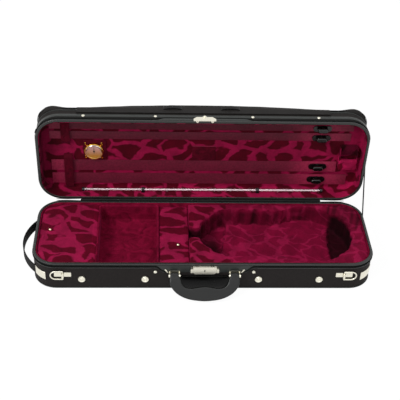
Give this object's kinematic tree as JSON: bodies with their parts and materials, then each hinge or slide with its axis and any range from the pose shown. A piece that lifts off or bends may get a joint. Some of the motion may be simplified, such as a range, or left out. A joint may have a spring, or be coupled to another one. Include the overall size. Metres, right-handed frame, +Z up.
{
  "type": "violin case",
  "caption": "Oblong hard violin case with a hinged lid, velvet-lined fitted hollow, lidded boxes, bow holders, hygrometer, string tube and carrying handle.",
  "frame": {"origin": "centre of the underside of the base, on the floor", "axes": "+X along the case to the right seen from the handle side, -Y towards the handle side, +Z up"},
  "size_m": [0.8478, 0.3606, 0.3261],
  "materials": {
    "shell_cloth": "woven black nylon",
    "binding": "rolled dark grey vinyl",
    "valance": "dark leather",
    "zip": "black zip tape",
    "nickel": "polished nickel",
    "black_steel": "black paint",
    "handle_leather": "smooth moulded leather",
    "webbing": "black webbing",
    "velvet": "crimson velvet",
    "satin": "wine satin",
    "brass": "polished",
    "dial": "printed dial",
    "glass": "clear",
    "black_plastic": "moulded",
    "clear_plastic": "clear tube"
  },
  "bodies": {
    "base": {"base_shell": "shell_cloth", "base_binding": "binding", "base_valance": "valance", "base_zip": "zip", "zip_sliders": "nickel", "front_feet": "nickel", "base_snaps": "nickel", "hinge_base_leaf": "black_steel", "hinge_pin": "black_steel", "handle_brackets": "nickel", "handle_axles": "nickel", "lock_case": "nickel", "ring_saddles": "nickel", "end_strap": "webbing", "corner_plates": "nickel", "base_lining": "velvet", "left_box": "velvet", "scroll_tray": "velvet", "neck_box": "velvet", "cradle": "velvet", "lid_stay": "webbing"},
    "lid": {"lid_shell": "shell_cloth", "lid_binding": "binding", "lid_valance": "valance", "lid_zip": "zip", "lid_snaps": "nickel", "music_pocket": "shell_cloth", "pocket_zip": "zip", "pocket_flap": "shell_cloth", "flap_loops": "valance", "lid_lining": "velvet", "bow_strips": "satin", "tip_covers": "velvet", "label_patch": "velvet", "pouch": "velvet", "dial_pad": "velvet", "dial_bezel": "brass", "dial_face": "dial", "dial_glass": "glass", "string_tube": "clear_plastic", "tube_fittings": "black_plastic", "spinner_bases": "black_plastic", "hasp": "nickel", "hinge_lid_leaf": "black_steel"},
    "handle": {"handle_grip": "handle_leather"},
    "lock_thumb_left": {"lock_thumb_left": "nickel"},
    "lock_thumb_right": {"lock_thumb_right": "nickel"},
    "key_barrel": {"key_barrel": "nickel"},
    "strap_ring_left": {"strap_ring_left": "nickel"},
    "strap_ring_right": {"strap_ring_right": "nickel"},
    "left_box_lid": {"left_box_lid": "velvet", "left_box_knob": "brass"},
    "neck_box_lid": {"neck_box_lid": "velvet", "neck_box_knob": "brass"},
    "dial_needle": {"dial_needle": "black_steel"},
    "bow_spinner_1": {"bow_spinner_1": "black_plastic"},
    "bow_spinner_2": {"bow_spinner_2": "black_plastic"},
    "bow_spinner_3": {"bow_spinner_3": "black_plastic"},
    "bow_spinner_4": {"bow_spinner_4": "black_plastic"}
  },
  "joints": [
    {"name": "lid_hinge", "type": "hinge", "parent": "base", "child": "lid", "pos_m": [0, 0.121, 0.0784], "axis": [1, 0, 0], "range_deg": [0, 90], "deforming": ["lid_stay"]},
    {"name": "handle_swing", "type": "hinge", "parent": "base", "child": "handle", "pos_m": [0, -0.128, 0.05], "axis": [-1, 0, 0], "range_deg": [-32, 124]},
    {"name": "lock_thumb_left_slide", "type": "slide", "parent": "base", "child": "lock_thumb_left", "axis": [-1, 0, 0], "range_m": [0, 0.004], "stiffness_N_per_m": 200},
    {"name": "lock_thumb_right_slide", "type": "slide", "parent": "base", "child": "lock_thumb_right", "axis": [1, 0, 0], "range_m": [0, 0.004], "stiffness_N_per_m": 200},
    {"name": "key_turn", "type": "hinge", "parent": "base", "child": "key_barrel", "pos_m": [0, -0.122, 0.06295], "axis": [0, -1, 0], "range_deg": [0, 90]},
    {"name": "strap_ring_left_swing", "type": "hinge", "parent": "base", "child": "strap_ring_left", "pos_m": [-0.333, -0.1222, 0.045], "axis": [0, 0, 1], "range_deg": [0, 170]},
    {"name": "strap_ring_right_swing", "type": "hinge", "parent": "base", "child": "strap_ring_right", "pos_m": [0.333, -0.1222, 0.045], "axis": [0, 0, -1], "range_deg": [0, 170]},
    {"name": "left_box_lid_hinge", "type": "hinge", "parent": "base", "child": "left_box_lid", "pos_m": [-0.258, 0, 0.072], "axis": [0, -1, 0], "range_deg": [-100, 0]},
    {"name": "neck_box_lid_hinge", "type": "hinge", "parent": "base", "child": "neck_box_lid", "pos_m": [-0.107, 0, 0.066], "axis": [0, 1, 0], "range_deg": [-90, 0]},
    {"name": "needle_turn", "type": "hinge", "parent": "lid", "child": "dial_needle", "pos_m": [-0.269, 0.155, 0.2034], "axis": [0, 1, 0], "range_deg": [-120, 120]},
    {"name": "bow_spinner_1_turn", "type": "hinge", "parent": "lid", "child": "bow_spinner_1", "pos_m": [0.293, 0.149, 0.2754], "axis": [0, 1, 0], "range_deg": [0, 90]},
    {"name": "bow_spinner_2_turn", "type": "hinge", "parent": "lid", "child": "bow_spinner_2", "pos_m": [0.293, 0.149, 0.2479], "axis": [0, 1, 0], "range_deg": [0, 90]},
    {"name": "bow_spinner_3_turn", "type": "hinge", "parent": "lid", "child": "bow_spinner_3", "pos_m": [0.293, 0.149, 0.1604], "axis": [0, 1, 0], "range_deg": [0, 90]},
    {"name": "bow_spinner_4_turn", "type": "hinge", "parent": "lid", "child": "bow_spinner_4", "pos_m": [0.293, 0.149, 0.1199], "axis": [0, 1, 0], "range_deg": [0, 90]}
  ]
}
